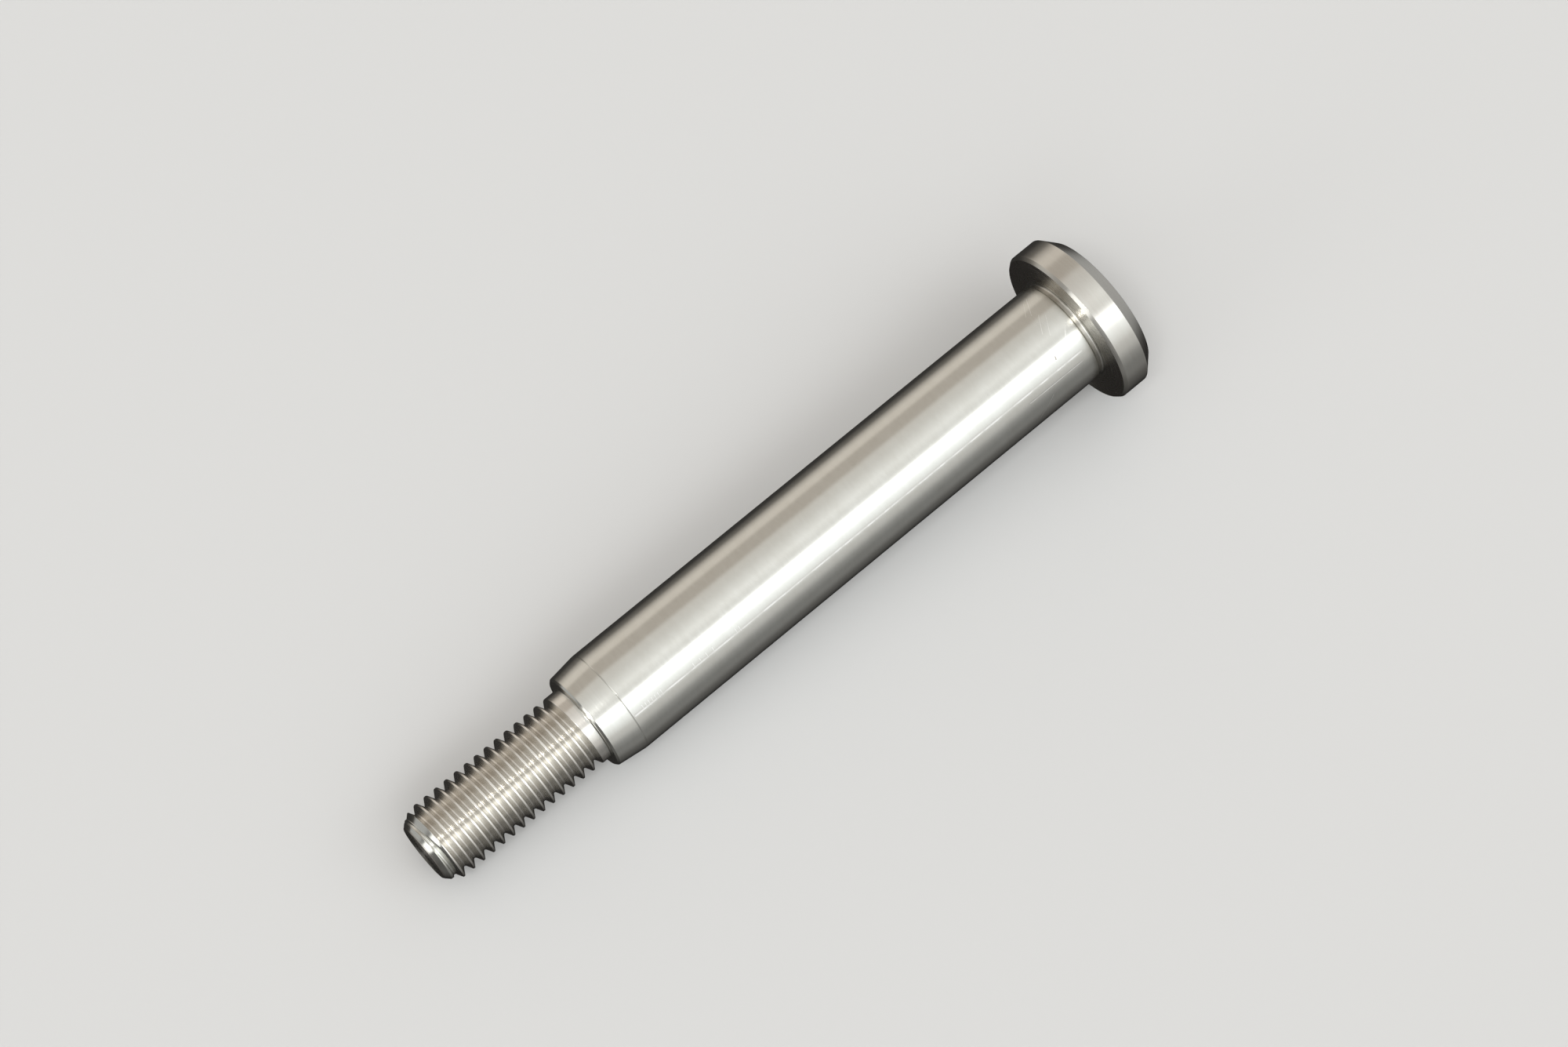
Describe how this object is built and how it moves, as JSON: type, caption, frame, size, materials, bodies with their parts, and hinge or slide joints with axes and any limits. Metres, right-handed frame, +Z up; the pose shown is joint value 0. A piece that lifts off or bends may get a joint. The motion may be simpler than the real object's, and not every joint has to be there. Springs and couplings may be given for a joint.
{
  "type": "shoulder screw",
  "caption": "Turned shoulder screw: low chamfered head with a hexagon socket, long plain shoulder with a tapered lead-in, and a right-hand metric threaded stud.",
  "frame": {"origin": "centre of the head's bearing face, the flat underside of the head, on the screw's axis", "axes": "+X along the axis from the threaded stud to the head; +Z up, with the screw lying on its side"},
  "size_m": [0.122, 0.0248, 0.0248],
  "materials": {
    "stainless_steel": "fine turned and ground stainless steel, satin to semi-bright, with faint rings round the axis"
  },
  "bodies": {
    "root": {"shoulder_screw": "stainless_steel"}
  },
  "joints": []
}
